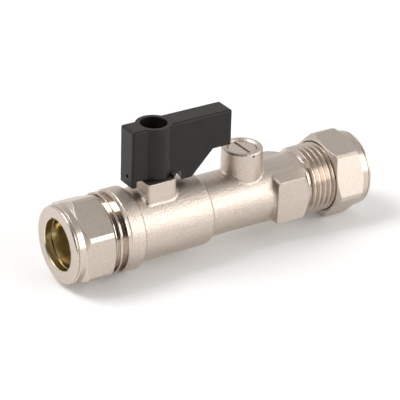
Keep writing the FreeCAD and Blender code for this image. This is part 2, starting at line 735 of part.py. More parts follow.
def make_stem():
    """The stem, put in from inside: a tang for the ball, a collar, two O-ring grooves and a square."""
    lower = "places.washer_top + dims.stem_ring_lower"
    upper = f"{lower} + dims.stem_ring_pitch"
    floor = "dims.stem_radius - 2 * dims.stem_ring_section"
    grooves = [
        *ring_groove(lower, floor, "dims.stem_radius", "dims.stem_ring_section"),
        *ring_groove(upper, floor, "dims.stem_radius", "dims.stem_ring_section"),
    ]
    stem = new_body("valve_stem", "places.hub_x")
    turn(stem, [
        ("0", "places.stem_foot"),
        ("dims.stem_collar", "places.stem_foot"),
        ("dims.stem_collar", "places.washer_low"),
        ("dims.stem_radius", "places.washer_low"),
        *[(radius, height) for height, radius in grooves],
        ("dims.stem_radius", "places.lever_low"),
        ("0", "places.lever_low"),
    ], axis="V_Axis")
    tang = new_sketch(stem, "XY_Plane", "places.slot_low + dims.tang_gap")
    draw_outline(tang, square_about_axis("dims.tang_width", "dims.tang_length"))
    extrude(stem, tang, "places.stem_foot - places.slot_low - dims.tang_gap")
    square = new_sketch(stem, "XY_Plane", "places.lever_low")
    draw_outline(square, square_about_axis("dims.square", "dims.square"))
    extrude(stem, square, "places.stem_top - places.lever_low")
    tapped_end = "places.stem_top - dims.screw_thread_length - dims.tang_gap"
    bore_down(stem, "0", "dims.screw_radius + dims.socket_fit", "places.stem_top", tapped_end)
    for label, height in (("stem_oring_lower", lower), ("stem_oring_upper", upper)):
        ring = "dims.stem_radius - dims.stem_ring_section"
        o_ring(label, ring, "dims.stem_ring_section - dims.socket_fit", "places.hub_x", height)
    washer = new_body("stem_thrust_washer", "places.hub_x")
    turn(washer, rectangle(
        "dims.stem_radius + dims.stem_fit", "dims.stem_collar", "places.washer_low", "places.washer_top"
    ), axis="V_Axis")


def make_lever():
    """A moulded lever: a bar with a round hub, two feet that straddle the neck and a deep screw hole."""
    lever = new_body("lever_handle", "places.hub_x")
    bar = draw_outline(new_sketch(lever, "XZ_Plane"), [
        ("-dims.lever_back", "places.heel_low"),
        ("0", "places.heel_low"),
        ("0", "places.foot_low"),
        ("dims.foot_end", "places.foot_low"),
        ("dims.arm_start", "places.arm_low"),
        ("dims.lever_reach", "places.arm_low"),
        ("dims.lever_reach", "places.lever_top"),
        ("-dims.lever_back", "places.lever_top"),
    ])
    extrude(lever, bar, "dims.lever_thickness", both_ways=True)
    back, reach, top = value("dims.lever_back"), value("dims.lever_reach"), value("places.lever_top")
    side = value("dims.lever_thickness / 2")

    def is_outer(edge):
        box = edge.BoundBox
        on_top = near(box.ZMin, top)
        on_end = near(box.XMin, box.XMax) and (near(box.XMin, reach) or near(box.XMin, -back))
        on_slant = near(abs(box.Center.y), side) and box.XMin > 0.1
        return on_top or (on_end and box.ZLength > 1) or on_slant

    round_edges(lever, "dims.lever_round", is_outer)
    hub = draw_circle(new_sketch(lever, "XY_Plane", "places.lever_low"), "dims.hub_radius")
    extrude(lever, hub, "dims.hub_height")
    turn(lever, [
        ("0", "places.foot_low"),
        ("dims.skirt_low", "places.foot_low"),
        ("dims.skirt_high", "places.skirt_roof"),
        ("dims.hub_radius", "places.skirt_roof"),
        ("dims.hub_radius", "places.lever_low"),
        ("0", "places.lever_low"),
    ], axis="V_Axis", cut=True)
    bore_down(lever, "0", "dims.access", "places.lever_top", "places.screw_seat")
    bore_down(lever, "0", "dims.screw_radius + dims.screw_hole_room", "places.screw_seat", "places.stem_top")
    socket = new_sketch(lever, "XY_Plane", "places.lever_low")
    wide = "(dims.square + 2 * dims.socket_fit)"
    draw_outline(socket, square_about_axis(wide, wide))
    extrude(lever, socket, "dims.square_length", cut=True, flip=True)
    wire = new_sketch(lever, "YZ_Plane", "-dims.lever_back")
    draw_circle(wire, "dims.wire_hole", "-dims.wire_hole_side", "places.lever_low + dims.wire_hole_height")
    extrude(lever, wire, "dims.wire_hole_depth", cut=True, flip=True)


def make_lever_screw():
    screw = new_body("handle_screw", "places.hub_x")
    turn(screw, [
        ("0", "places.stem_top - dims.screw_thread_length"),
        ("dims.screw_radius", "places.stem_top - dims.screw_thread_length"),
        ("dims.screw_radius", "places.head_low"),
        ("dims.screw_head", "places.head_low"),
        ("dims.screw_head", "places.head_low + dims.screw_head_height"),
        ("0", "places.head_low + dims.screw_head_height"),
    ], axis="V_Axis")
    slot = new_sketch(screw, "XY_Plane", "places.head_low + dims.screw_head_height")
    draw_outline(slot, square_about_axis("dims.screw_slot", "3 * dims.screw_head"))
    extrude(screw, slot, "dims.screw_slot_depth", cut=True)
    washer = new_body("handle_screw_washer", "places.hub_x")
    turn(washer, rectangle(
        "dims.screw_radius + dims.screw_hole_room", "dims.spring_washer",
        "places.screw_seat", "places.head_low",
    ), axis="V_Axis")


def make_nut(label, face, turn_angle, toward):
    """A compression nut. toward is + where the nut's inside lies along +X of its face, and - along -X."""
    def at(distance):
        return f"{face} {toward} ({distance})"

    nut = new_body(label)
    turn(nut, [
        (at("0"), "0"),
        (at("0"), "places.nut_face"),
        (at("2 * dims.nut_edge"), "places.nut_face"),
        (at("2.5 * dims.nut_edge"), "places.nut_face - dims.nut_edge"),
        (at("3.5 * dims.nut_edge"), "places.nut_flat"),
        (at("dims.nut_collar"), "places.nut_flat"),
        (at("dims.nut_collar"), "0"),
    ])
    face_x, rim = value(face), value("places.nut_face")
    round_edges(nut, "dims.nut_round", lambda edge: is_ring(edge, face_x, rim))
    sketch = new_sketch(nut, "YZ_Plane", at("dims.nut_collar"))
    draw_outline(sketch, hexagon("places.nut_sharp", turn_angle))
    extrude(nut, sketch, "dims.nut_length - dims.nut_collar", flip=toward == "-")
    turn(nut, [
        (at("dims.nut_collar"), "places.nut_flat"),
        (at("dims.nut_collar + dims.nut_chamfer"), "places.nut_corner"),
        (at("dims.nut_length - dims.nut_chamfer"), "places.nut_corner"),
        (at("dims.nut_length"), "places.nut_flat - dims.nut_chamfer / 4"),
        (at("dims.nut_length"), "2 * places.nut_corner"),
        (at("dims.nut_collar"), "2 * places.nut_corner"),
    ], cut=True)
    turn(nut, [
        (at("0"), "0"),
        (at("0"), "dims.pipe_bore + dims.nut_edge"),
        (at("dims.nut_edge"), "dims.pipe_bore"),
        (at("dims.nut_lip"), "dims.pipe_bore"),
        (at("dims.nut_lip + dims.nut_cone"), "dims.pipe_bore + dims.nut_cone"),
        (at("dims.nut_lip + dims.nut_cone"), "places.nut_thread"),
        (at("dims.nut_length - dims.nut_edge"), "places.nut_thread"),
        (at("dims.nut_length"), "places.nut_thread + dims.nut_edge"),
        (at("dims.nut_length"), "0"),
    ], cut=True)


def make_olive(label, face, toward):
    """The brass ring that grips the pipe, tapered at both ends."""
    def at(distance):
        return f"{face} {toward} ({distance})"

    turn(new_body(label), [
        (at("places.olive_start"), "dims.pipe_bore"),
        (at("places.olive_start"), "dims.pipe_bore + dims.olive_end_wall"),
        (at("places.olive_start + dims.olive_cone"), "dims.pipe_bore + dims.olive_wall"),
        (at("places.olive_stop - dims.olive_cone"), "dims.pipe_bore + dims.olive_wall"),
        (at("places.olive_stop"), "dims.pipe_bore + dims.olive_end_wall"),
        (at("places.olive_stop"), "dims.pipe_bore"),
    ])


def make_check_insert():
    """The check insert: a housing with a flat seat, a sprung poppet and a drilled guide behind a circlip."""
    groove_floor = "places.housing - 2 * dims.housing_ring_section"
    turn(new_body("check_housing"), [
        ("places.cartridge_start", "dims.inlet_hole"),
        ("places.cartridge_start", "places.housing"),
        *ring_groove("places.housing_ring_x", groove_floor, "places.housing", "dims.housing_ring_section"),
        ("places.housing_end", "places.housing"),
        ("places.housing_end", "places.housing_bore"),
        ("places.seat_x", "places.housing_bore"),
        ("places.seat_x", "dims.inlet_hole"),
    ])
    o_ring(
        "check_housing_oring", "places.housing_ring", "dims.housing_ring_section - dims.guide_fit",
        "places.housing_ring_x", along_pipe=True,
    )
    turn(new_body("check_poppet"), [
        ("places.seal_x - dims.poppet_nose_length", "0"),
        ("places.seal_x - dims.poppet_nose_length", "dims.poppet_nose"),
        ("places.disc_x", "dims.poppet_nose"),
        ("places.disc_x", "dims.poppet_disc"),
        ("places.disc_back", "dims.poppet_disc"),
        ("places.disc_back", "dims.poppet_stem"),
        ("places.housing_end + dims.poppet_tail", "dims.poppet_stem"),
        ("places.housing_end + dims.poppet_tail", "0"),
    ])
    turn(new_body("poppet_seal"), rectangle(
        "places.seal_x", "places.disc_x", "dims.poppet_nose", "dims.poppet_disc"
    ))
    guide = new_body("check_guide")
    turn(guide, rectangle(
        "places.guide_x", "places.housing_end", "places.guide_bore", "places.housing_bore - dims.guide_fit"
    ))
    hole = new_sketch(guide, "YZ_Plane", "places.guide_x")
    draw_circle(hole, "dims.guide_hole", "dims.guide_hole_ring")
    drilled = extrude(guide, hole, "dims.guide_height", cut=True, flip=True)
    holes = guide.newObject("PartDesign::PolarPattern", "holes")
    holes.Originals = [drilled]
    holes.Axis = ([item for item in guide.Origin.OriginFeatures if item.Role == "X_Axis"][0], [""])
    holes.Occurrences = 6
    guide.Tip = holes
    DOC.recompute()
    make_check_spring()
    clip = new_body("check_circlip")
    turn(clip, rectangle(
        "places.clip_low + dims.clip_room", "places.clip_low + dims.clip_room + dims.clip_width",
        "places.cartridge - dims.clip_reach", "places.clip_ring - dims.clip_room",
    ), angle="360 - dims.clip_opening")


def make_check_spring():
    """A coil between the poppet's disc and the guide."""
    room = "places.guide_x - places.disc_back - 4 * dims.spring_wire"
    coil = DOC.addObject("Part::Helix", "spring_path")
    coil.setExpression("Radius", "dims.spring_coil")
    coil.setExpression("Height", room)
    coil.setExpression("Pitch", f"({room}) / dims.spring_turns")
    wire = DOC.addObject("Part::Circle", "spring_wire")
    wire.setExpression("Radius", "dims.spring_wire")
    wire.Placement.Rotation = FreeCAD.Rotation(FreeCAD.Vector(1, 0, 0), 90)
    wire.setExpression("Placement.Base.x", "dims.spring_coil")
    spring = keep(DOC.addObject("Part::Sweep", "check_spring"), "check_spring")
    spring.Sections = [wire]
    spring.Spine = coil
    spring.Solid = True
    spring.Frenet = True
    spring.Placement.Rotation = FreeCAD.Rotation(FreeCAD.Vector(0, 1, 0), 90)
    spring.setExpression("Placement.Base.x", "places.disc_back + 2 * dims.spring_wire")
    DOC.recompute()


def make_test_plug():
    plug = new_body("test_plug", "places.boss_x")
    turn(plug, [
        ("0", "places.plug_low - dims.plug_nose_length"),
        ("dims.plug_nose", "places.plug_low - dims.plug_nose_length"),
        ("dims.plug_nose", "places.plug_low"),
        ("dims.plug_radius", "places.plug_low"),
        ("dims.plug_radius", "places.plug_top - dims.plug_bevel"),
        ("dims.plug_radius - dims.plug_bevel", "places.plug_top"),
        ("0", "places.plug_top"),
    ], axis="V_Axis")
    slot = new_sketch(plug, "XY_Plane", "places.plug_top")
    draw_outline(slot, square_about_axis("dims.plug_slot", "3 * dims.plug_radius"))
    extrude(plug, slot, "dims.plug_slot_depth", cut=True)
    ring = "dims.plug_nose + dims.plug_ring_section + dims.plug_fit"
    middle = "(places.plug_low + places.plug_seat_z) / 2"
    o_ring("test_plug_oring", ring, "dims.plug_ring_section", "places.boss_x", middle)


def write_pieces():
    """Checks every object, then writes each sub-part to its own file."""
    for item in DOC.Objects:
        if "Invalid" in item.State or "Error" in item.State:
            raise RuntimeError(f"{item.Label} failed: {item.State}")
    os.makedirs("parts", exist_ok=True)
    for piece in PIECES:
        shape = piece.Shape
        if shape.isNull() or not shape.isValid() or len(shape.Solids) != 1:
            raise RuntimeError(f"{piece.Label} is not one valid solid")
        shape.exportStep(os.path.join("parts", f"{piece.Label}.step"))
        print(f"{piece.Label}: {shape.Volume:.1f} mm3")


make_valve_body()
make_connector()
make_seats()
make_ball()
make_stem()
make_lever()
make_lever_screw()
make_nut("inlet_nut", "places.inlet_face", "dims.inlet_nut_turn", "+")
make_nut("outlet_nut", "places.outlet_face", "dims.outlet_nut_turn", "-")
make_olive("inlet_olive", "places.inlet_face", "+")
make_olive("outlet_olive", "places.outlet_face", "-")
make_check_insert()
make_test_plug()
write_pieces()
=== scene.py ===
# %% [markdown]
# # A lever isolating valve
#
# A plumber fits this valve into a copper pipe. A black lever turns a ball inside the plated body, a sprung
# check insert lets water pass one way only, and a slotted plug closes a test port. Each end has a nut and a
# brass olive that grip the pipe. The solids come from the frame, so this lesson is about looks: where the
# camera stands, what light metal needs, and how plating, turned metal and moulded plastic are made from
# nodes. Only the check spring is drawn anew, because it has to get shorter.

# %% Load the frame
import math

import bpy
import numpy as np
from mathutils import Matrix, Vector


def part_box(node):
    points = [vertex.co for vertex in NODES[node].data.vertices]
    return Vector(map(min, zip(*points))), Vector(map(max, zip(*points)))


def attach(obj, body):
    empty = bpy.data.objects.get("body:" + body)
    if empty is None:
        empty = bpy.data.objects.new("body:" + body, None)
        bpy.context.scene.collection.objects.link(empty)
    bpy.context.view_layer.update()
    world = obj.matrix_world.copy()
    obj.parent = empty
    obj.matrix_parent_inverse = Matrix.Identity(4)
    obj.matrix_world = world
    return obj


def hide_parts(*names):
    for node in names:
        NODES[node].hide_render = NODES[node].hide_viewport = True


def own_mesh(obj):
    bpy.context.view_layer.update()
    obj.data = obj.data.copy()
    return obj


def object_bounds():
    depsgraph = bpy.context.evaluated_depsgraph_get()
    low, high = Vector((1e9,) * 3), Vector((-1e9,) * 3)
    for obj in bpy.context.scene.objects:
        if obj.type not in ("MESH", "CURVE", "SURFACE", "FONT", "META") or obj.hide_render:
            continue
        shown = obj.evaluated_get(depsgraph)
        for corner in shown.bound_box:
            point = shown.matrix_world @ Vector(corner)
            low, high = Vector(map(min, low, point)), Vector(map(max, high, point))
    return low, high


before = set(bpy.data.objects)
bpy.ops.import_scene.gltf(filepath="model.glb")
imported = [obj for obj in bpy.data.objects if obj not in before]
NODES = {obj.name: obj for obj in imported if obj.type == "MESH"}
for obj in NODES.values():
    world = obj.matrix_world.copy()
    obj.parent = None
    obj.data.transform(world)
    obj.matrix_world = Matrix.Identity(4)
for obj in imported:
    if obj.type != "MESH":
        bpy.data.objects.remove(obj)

MM = 0.001
cad_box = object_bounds()

# %% [markdown]
# ## The camera
#
# A product picture like this is taken with a long lens from well back, so parallel edges stay nearly
# parallel. The camera's place is given by the way it faces: an azimuth round the valve, an elevation above
# the table, and a small roll, because the pipe axis leans a little in the picture. Three unit vectors,
# right, up and back, make the camera's rotation directly, which is clearer than three Euler angles.

# %% Camera
CAMERA_PLACE = (-250.87 * MM, -436.25 * MM, 271.71 * MM)
CAMERA_AZIMUTH = math.radians(-33.485)
CAMERA_ELEVATION = math.radians(27.258)
CAMERA_ROLL = math.radians(1.847)
CAMERA_LENS = 182.25


def facing(azimuth, elevation):
    """Unit vector from the valve towards something at that azimuth and elevation."""
    level = math.cos(elevation)
    return np.array([math.sin(azimuth) * level, -math.cos(azimuth) * level, math.sin(elevation)])


def turned_frame(azimuth, elevation, roll=0.0):
    """Rotation whose columns are right, up and back: right is level, up is back x right, then both roll."""
    back = facing(azimuth, elevation)
    sideways = np.array([math.cos(azimuth), math.sin(azimuth), 0.0])
    raised = np.cross(back, sideways)
    right = math.cos(roll) * sideways + math.sin(roll) * raised
    up = math.cos(roll) * raised - math.sin(roll) * sideways
    return Matrix(np.column_stack([right, up, back]).tolist()).to_4x4()


def stand(item, azimuth, elevation, place, roll=0.0):
    """Links a camera or lamp to the scene at a place, looking back along the way it lies."""
    bpy.context.scene.collection.objects.link(item)
    item.matrix_world = Matrix.Translation(place) @ turned_frame(azimuth, elevation, roll)


camera = bpy.data.objects.new("camera", bpy.data.cameras.new("camera"))
camera.data.lens = CAMERA_LENS
stand(camera, CAMERA_AZIMUTH, CAMERA_ELEVATION, CAMERA_PLACE, CAMERA_ROLL)
bpy.context.scene.camera = camera
bpy.context.scene.view_settings.view_transform = "Standard"
print("camera", [round(v, 3) for v in camera.location], "lens", CAMERA_LENS)

# %% [markdown]
# ## Building with nodes
#
# Every material here is a small graph. Adding a node, setting its sockets and linking them takes three
# steps in Blender's own calls, so one helper does all of it: a socket given another node's output is
# linked, and any other value is set on the socket. The others are short names for what the finishes do
# again and again: start from an empty graph, link results by name, do arithmetic, carry one range of values
# to another, mix, and write a colour.

# %% Node helpers
MIX_SOCKETS = {"FLOAT": (2, 3, 0), "VECTOR": (4, 5, 1), "RGBA": (6, 7, 2)}


def empty_tree(owner):
    """The node tree of a new material or world, with nothing in it."""
    owner.use_nodes = True
    owner.node_tree.nodes.clear()
    return owner.node_tree


def add(tree, kind, inputs=None, **settings):
    """A new node. inputs maps a socket's name or number to a value or to another node's output."""
    made = tree.nodes.new(kind)
    for name, setting in settings.items():
        setattr(made, name, setting)
    for key, given in (inputs or {}).items():
        if isinstance(given, bpy.types.NodeSocket):
            tree.links.new(given, made.inputs[key])
        else:
            made.inputs[key].default_value = given
    return made


def join(tree, sockets, results):
    """Links each result to the socket of that name."""
    for label, result in results.items():
        tree.links.new(result, sockets[label])


def calc(tree, operation, *values):
    """One Math node's result."""
    return add(tree, "ShaderNodeMath", dict(enumerate(values)), operation=operation).outputs[0]


def spread(tree, value, low, high, to_low=0.0, to_high=1.0):
    """A value's range carried to another range, clamped and smooth at both ends."""
    ranges = {"Value": value, "From Min": low, "From Max": high, "To Min": to_low, "To Max": to_high}
    return add(tree, "ShaderNodeMapRange", ranges, interpolation_type="SMOOTHSTEP").outputs[0]


def mix(tree, factor, first, second, kind="RGBA"):
    """Two numbers, vectors or colours mixed by a factor. A Mix node has sockets of its own for each kind."""
    one, two, result = MIX_SOCKETS[kind]
    return add(tree, "ShaderNodeMix", {0: factor, one: first, two: second}, data_type=kind).outputs[result]


def rgb(red, green, blue):
    """A colour socket's value."""
    return (red, green, blue, 1.0)


print("node helpers ready")

# %% [markdown]
# ## The table
#
# The background is a plain white table. Lighting it until it clips would also burn out the metal, so the
# table's material adds a little glow of its own for camera rays, and for glossy rays, because plating
# mirrors the table it lies on. Diffuse light still falls on the table, so the shadow stays. A disc whose
# rings are closer together near the valve needs few faces for its size.

# %% Table
TABLE_RADIUS = 5.0
TABLE_HUB = 0.02
TABLE_GAP = 0.02 * MM
TABLE_WHITE = rgb(0.92, 0.92, 0.915)
TABLE_GLOW = 0.08


def disc(radius, height, rings=24, sides=96):
    """Points r (cos t, sin t) at one height, with r growing as the square of the ring's share."""
    reach = radius * np.linspace(TABLE_HUB, 1.0, rings)[:, None] ** 2
    angle = np.linspace(0.0, 2.0 * np.pi, sides, endpoint=False)[None, :]
    level = np.full((rings, sides), height)
    return np.stack([reach * np.cos(angle), reach * np.sin(angle), level], axis=-1)


def grid_faces(rows, columns):
    """Quads between neighbours of a grid, with the last column joined to the first."""
    number = np.arange(rows * columns).reshape(rows, columns)
    beside = np.roll(number, -1, axis=1)
    quads = np.stack([number[:-1], beside[:-1], beside[1:], number[1:]], axis=-1)
    return quads.reshape(-1, 4)


def new_piece(name, points, faces):
    """A smooth mesh object at the origin from an array of points and a list of faces."""
    mesh = bpy.data.meshes.new(name)
    mesh.from_pydata(points.reshape(-1, 3).tolist(), [], faces)
    mesh.polygons.foreach_set("use_smooth", np.ones(len(mesh.polygons), dtype=bool))
    mesh.update()
    piece = bpy.data.objects.new(name, mesh)
    bpy.context.scene.collection.objects.link(piece)
    return piece


def table_finish():
    """White that scatters light, with a glow that only the camera, mirrors and clear things see."""
    material = bpy.data.materials.new("white_table")
    tree = empty_tree(material)
    seen = add(tree, "ShaderNodeLightPath").outputs
    direct = calc(tree, "MAXIMUM", seen["Is Camera Ray"], seen["Is Glossy Ray"])
    direct = calc(tree, "MAXIMUM", direct, seen["Is Transmission Ray"])
    glow = add(tree, "ShaderNodeEmission", {"Strength": calc(tree, "MULTIPLY", direct, TABLE_GLOW)})
    matt = add(tree, "ShaderNodeBsdfDiffuse", {"Color": TABLE_WHITE})
    both = add(tree, "ShaderNodeAddShader", {0: matt.outputs[0], 1: glow.outputs[0]})
    add(tree, "ShaderNodeOutputMaterial", {"Surface": both.outputs[0]})
    return material


table_rings = disc(TABLE_RADIUS, cad_box[0].z - TABLE_GAP)
hub_face = tuple(range(table_rings.shape[1]))
ring_faces = grid_faces(*table_rings.shape[:2])[:, ::-1].tolist()
table = new_piece("table", table_rings, [hub_face] + ring_faces)
table.data.materials.append(table_finish())
print("table at", round(cad_box[0].z / MM, 2), "mm")

# %% [markdown]
# ## The light
#
# Metal has hardly any colour of its own and shows the room. The camera looks from the left and from above,
# so the front of the pipe mirrors what stands low on the right: a card there draws the pale band along the
# body. A lamp high on the left, a little behind, gives the highlights and the shadow. Both are area lamps,
# because metal mirrors a lamp's shape, and a point would be only a speck on it.

# %% Lamps
def soft_box(name, azimuth, elevation, distance, width, height, radiance):
    """A rectangular lamp that faces the valve. Its power is pi times its area times its radiance."""
    lamp = bpy.data.lights.new(name, "AREA")
    lamp.shape = "RECTANGLE"
    lamp.size, lamp.size_y = width, height
    lamp.energy = math.pi * width * height * radiance
    way, rise = math.radians(azimuth), math.radians(elevation)
    centre = np.array([(cad_box[0].x + cad_box[1].x) / 2, 0.0, 0.0])
    stand(bpy.data.objects.new(name, lamp), way, rise, centre + distance * facing(way, rise))
    print(name, round(lamp.energy, 2), "W")


soft_box("front_card", azimuth=36, elevation=24, distance=0.75, width=0.8, height=0.5, radiance=2.4)
soft_box("side_box", azimuth=-118, elevation=54, distance=0.8, width=0.4, height=0.4, radiance=7.4)

# %% [markdown]
# ## The room
#
# What the lamps don't cover, the plating mirrors too. A photographer's room is pale near the table, greyer
# overhead, and dark on the camera's side, and that dark side shades everything that faces the camera
# squarely. All three are colours of the world, chosen by direction, so no walls are modelled.

# %% Room
ROOM_DARK = rgb(0.05, 0.048, 0.045)
ROOM_PALE = rgb(0.78, 0.775, 0.77)
CEILING = rgb(0.56, 0.555, 0.55)
BACKDROP = rgb(1.0, 1.0, 1.0)
CEILING_RISE = (0.35, 1.0)
DARK_COSINES = (0.4, 0.85)


def studio_room():
    """A world of pale walls, with a ceiling from one height of the direction to the other and a dark side
    where the cosine to the camera's direction is large. The camera itself sees a white backdrop."""
    room = bpy.data.worlds.new("room")
    tree = empty_tree(room)
    way = add(tree, "ShaderNodeTexCoord").outputs["Generated"]
    rise = add(tree, "ShaderNodeSeparateXYZ", {0: way}).outputs["Z"]
    walls = mix(tree, spread(tree, rise, *CEILING_RISE), ROOM_PALE, CEILING)
    camera_way = tuple(facing(CAMERA_AZIMUTH, CAMERA_ELEVATION / 2))
    nearness = add(tree, "ShaderNodeVectorMath", {0: way, 1: camera_way}, operation="DOT_PRODUCT")
    walls = mix(tree, spread(tree, nearness.outputs["Value"], *DARK_COSINES), walls, ROOM_DARK)
    on_camera = add(tree, "ShaderNodeLightPath").outputs["Is Camera Ray"]
    sky = add(tree, "ShaderNodeBackground", {"Color": mix(tree, on_camera, walls, BACKDROP)})
    add(tree, "ShaderNodeOutputWorld", {"Surface": sky.outputs[0]})
    return room


bpy.context.scene.world = studio_room()
print("world:", bpy.context.scene.world.name)

# %% [markdown]
# ## Effects that several finishes share
#
# Real surfaces are told apart by small things: blasted metal has a fine even grain, turned metal has rings
# left by the tool, and corners are rubbed bright and slightly round. Crevices are darkened as painted shade.
# Each of these is a node group with named inputs, made once, so that each finish can use it with its own
# numbers. Making a group means declaring its sockets first, and one helper does that.

# %% Group helpers
FLOAT, VECTOR = "NodeSocketFloat", "NodeSocketVector"
GROUPS = {}


def new_group(name, inputs, outputs):
    """An empty node group with float or vector inputs, and its input and output nodes' sockets."""
    tree = bpy.data.node_groups.new(name, "ShaderNodeTree")
    for label, kind, default in inputs:
        socket = tree.interface.new_socket(label, in_out="INPUT", socket_type=kind)
        if default is not None:
            socket.default_value = default
    for label, kind in outputs:
        tree.interface.new_socket(label, in_out="OUTPUT", socket_type=kind)
    return tree, tree.nodes.new("NodeGroupInput").outputs, tree.nodes.new("NodeGroupOutput").inputs


def noise(tree, place, scale, detail=2.0):
    """One noise texture's value."""
    sockets = {"Vector": place, "Scale": scale, "Detail": detail}
    return add(tree, "ShaderNodeTexNoise", sockets).outputs[0]


print("group helpers ready")

# %% [markdown]
# ## Grain and rings
#
# Shot leaves dents of many sizes, and two layers of noise are enough to look like that. The same noise,
# finer and shallower, does for the grain of a mould. A lathe leaves rings round the pipe axis instead, so
# their noise runs along X alone, and a slow sway keeps them from looking printed.

# %% Grain and turning groups
GRAINS_PER_METRE = 2500.0
FINER = 2.7
FINE_SHARE = 0.5
BROADER = 0.08
PATCH_RANGE = (0.3, 0.7)
RINGS_PER_METRE = 6000.0
SWAYS_PER_METRE = 90.0
SWAY = 0.06 * MM


def grain_group():
    """Height: noise plus half as much of a finer noise. Patch: slow change of tone, from a broader noise."""
    tree, entry, exits = new_group(
        "blast_grain",
        [("Vector", VECTOR, None), ("Grains per metre", FLOAT, GRAINS_PER_METRE)],
        [("Height", FLOAT), ("Patch", FLOAT)],
    )
    place, scale = entry["Vector"], entry["Grains per metre"]
    coarse = noise(tree, place, scale)
    fine = noise(tree, place, calc(tree, "MULTIPLY", scale, FINER), detail=1.0)
    broad = noise(tree, place, calc(tree, "MULTIPLY", scale, BROADER), detail=3.0)
    height = calc(tree, "MULTIPLY_ADD", fine, FINE_SHARE, coarse)
    join(tree, exits, {"Height": height, "Patch": spread(tree, broad, *PATCH_RANGE)})
    return tree


def turning_group():
    """Height: rings round the pipe axis, from noise along X that sways slightly round the pipe."""
    tree, entry, exits = new_group(
        "turning_rings",
        [("Vector", VECTOR, None), ("Rings per metre", FLOAT, RINGS_PER_METRE)],
        [("Height", FLOAT)],
    )
    along = add(tree, "ShaderNodeSeparateXYZ", {0: entry["Vector"]}).outputs["X"]
    sway = noise(tree, entry["Vector"], SWAYS_PER_METRE)
    place = calc(tree, "MULTIPLY_ADD", sway, SWAY, along)
    steps = {"W": place, "Scale": entry["Rings per metre"], "Detail": 2.0}
    rings = add(tree, "ShaderNodeTexNoise", steps, noise_dimensions="1D")
    join(tree, exits, {"Height": rings.outputs[0]})
    return tree


GROUPS["grain"] = grain_group()
GROUPS["turning"] = turning_group()
print("groups:", ", ".join(GROUPS))

# %% [markdown]
# ## Rubbed edges and painted crevice shade
#
# The solids have sharp corners, and no real corner is sharp. A Bevel node bends the normal near a corner as
# if it were round, without changing the mesh, and where it bends most is also where hands and tools rub.
# Ambient occlusion finds the opposite, the corners that nothing reaches into, and the colour is darkened
# there as painted shade.

# %% Edge and crevice groups
EDGE_RADIUS = 0.2 * MM
BEND_COSINES = (0.995, 0.90)
SPECKS_PER_METRE = 900.0
SPECK_RANGE = (0.25, 0.6)
CREVICE_REACH = 2.0 * MM
CREVICE_SHARES = (0.45, 0.05)


def edge_group():
    """Normal: corners rounded to a radius. Wear: grows as the cosine between that normal and the true one
    falls, and is broken up by noise."""
    tree, entry, exits = new_group(
        "rubbed_edges",
        [("Vector", VECTOR, None), ("Radius", FLOAT, EDGE_RADIUS)],
        [("Normal", VECTOR), ("Wear", FLOAT)],
    )
    rounded = add(tree, "ShaderNodeBevel", {"Radius": entry["Radius"]}, samples=4).outputs[0]
    true_normal = add(tree, "ShaderNodeNewGeometry").outputs["Normal"]
    both = add(tree, "ShaderNodeVectorMath", {0: rounded, 1: true_normal}, operation="DOT_PRODUCT")
    bend = spread(tree, both.outputs["Value"], *BEND_COSINES)
    specks = noise(tree, entry["Vector"], SPECKS_PER_METRE, detail=3.0)
    wear = calc(tree, "MULTIPLY", bend, spread(tree, specks, *SPECK_RANGE))
    join(tree, exits, {"Normal": rounded, "Wear": wear})
    return tree


# Painted shade: ambient occlusion turned into a mask that darkens colour in corners and crevices.
def crevice_shade_group():
    """Painted shade: grows as the open share of the space within reach falls, for darkening colour in
    corners.
    """
    tree, entry, exits = new_group("crevices", [("Reach", FLOAT, CREVICE_REACH)], [("Painted shade", FLOAT)])
    around = add(tree, "ShaderNodeAmbientOcclusion", {"Distance": entry["Reach"]}, samples=8)
    join(tree, exits, {"Painted shade": spread(tree, around.outputs["AO"], *CREVICE_SHARES)})
    return tree


GROUPS["edges"] = edge_group()
GROUPS["crevices"] = crevice_shade_group()
print("groups:", ", ".join(GROUPS))

# %% [markdown]
# ## Starting a finish
#
# Each finish starts from one Principled shader. The pattern reads Object coordinates, which here are metres
# in the valve's own frame, so a grain size is a real size, and one finish can tell the body from its thread
# by where they lie along X. The radius from the pipe axis tells plated outsides from plain brass bores.

# %% Finish helpers
GRAIN_RANGE = (0.4, 1.1)
GRAIN_STRENGTH = 0.6
RING_RANGE = (0.3, 0.7)
RING_STRENGTH = 0.5


def effect(tree, group, inputs):
    """A shared group with its inputs set or linked, as a table of outputs."""
    return add(tree, "ShaderNodeGroup", inputs, node_tree=GROUPS[group]).outputs


def start_finish(name, **constants):
    """A material's tree, its shader and the object coordinates. Constants go straight to the shader."""
    material = bpy.data.materials.new(name)
    tree = empty_tree(material)
    shader = add(tree, "ShaderNodeBsdfPrincipled", {key.replace("_", " "): v for key, v in constants.items()})
    add(tree, "ShaderNodeOutputMaterial", {"Surface": shader.outputs[0]})
    return material, tree, shader, add(tree, "ShaderNodeTexCoord").outputs["Object"]


def axis_radius(tree, place):
    """Distance from the pipe axis, which is the root of y squared plus z squared, and X."""
    parts = add(tree, "ShaderNodeSeparateXYZ", {0: place}).outputs
    squares = calc(tree, "ADD", calc(tree, "POWER", parts["Y"], 2.0), calc(tree, "POWER", parts["Z"], 2.0))
    return calc(tree, "SQRT", squares), parts["X"]


def rough_about(tree, pattern, limits, middle, play):
    """Roughness that goes from middle - play to middle + play as a pattern goes through its range."""
    return spread(tree, pattern, *limits, middle - play, middle + play)


def bump(tree, height, depth, normal, strength):
    """A Bump node: a height of 0 to 1 stands for a depth in metres."""
    sockets = {"Height": height, "Distance": depth, "Normal": normal, "Strength": strength}
    return add(tree, "ShaderNodeBump", sockets).outputs[0]


def dress(names, material):
    """Gives the material to each named solid."""
    for name in names:
        NODES[name].data.materials.clear()
        NODES[name].data.materials.append(material)
    print(material.name, "on", ", ".join(names))


print("finish helpers ready")
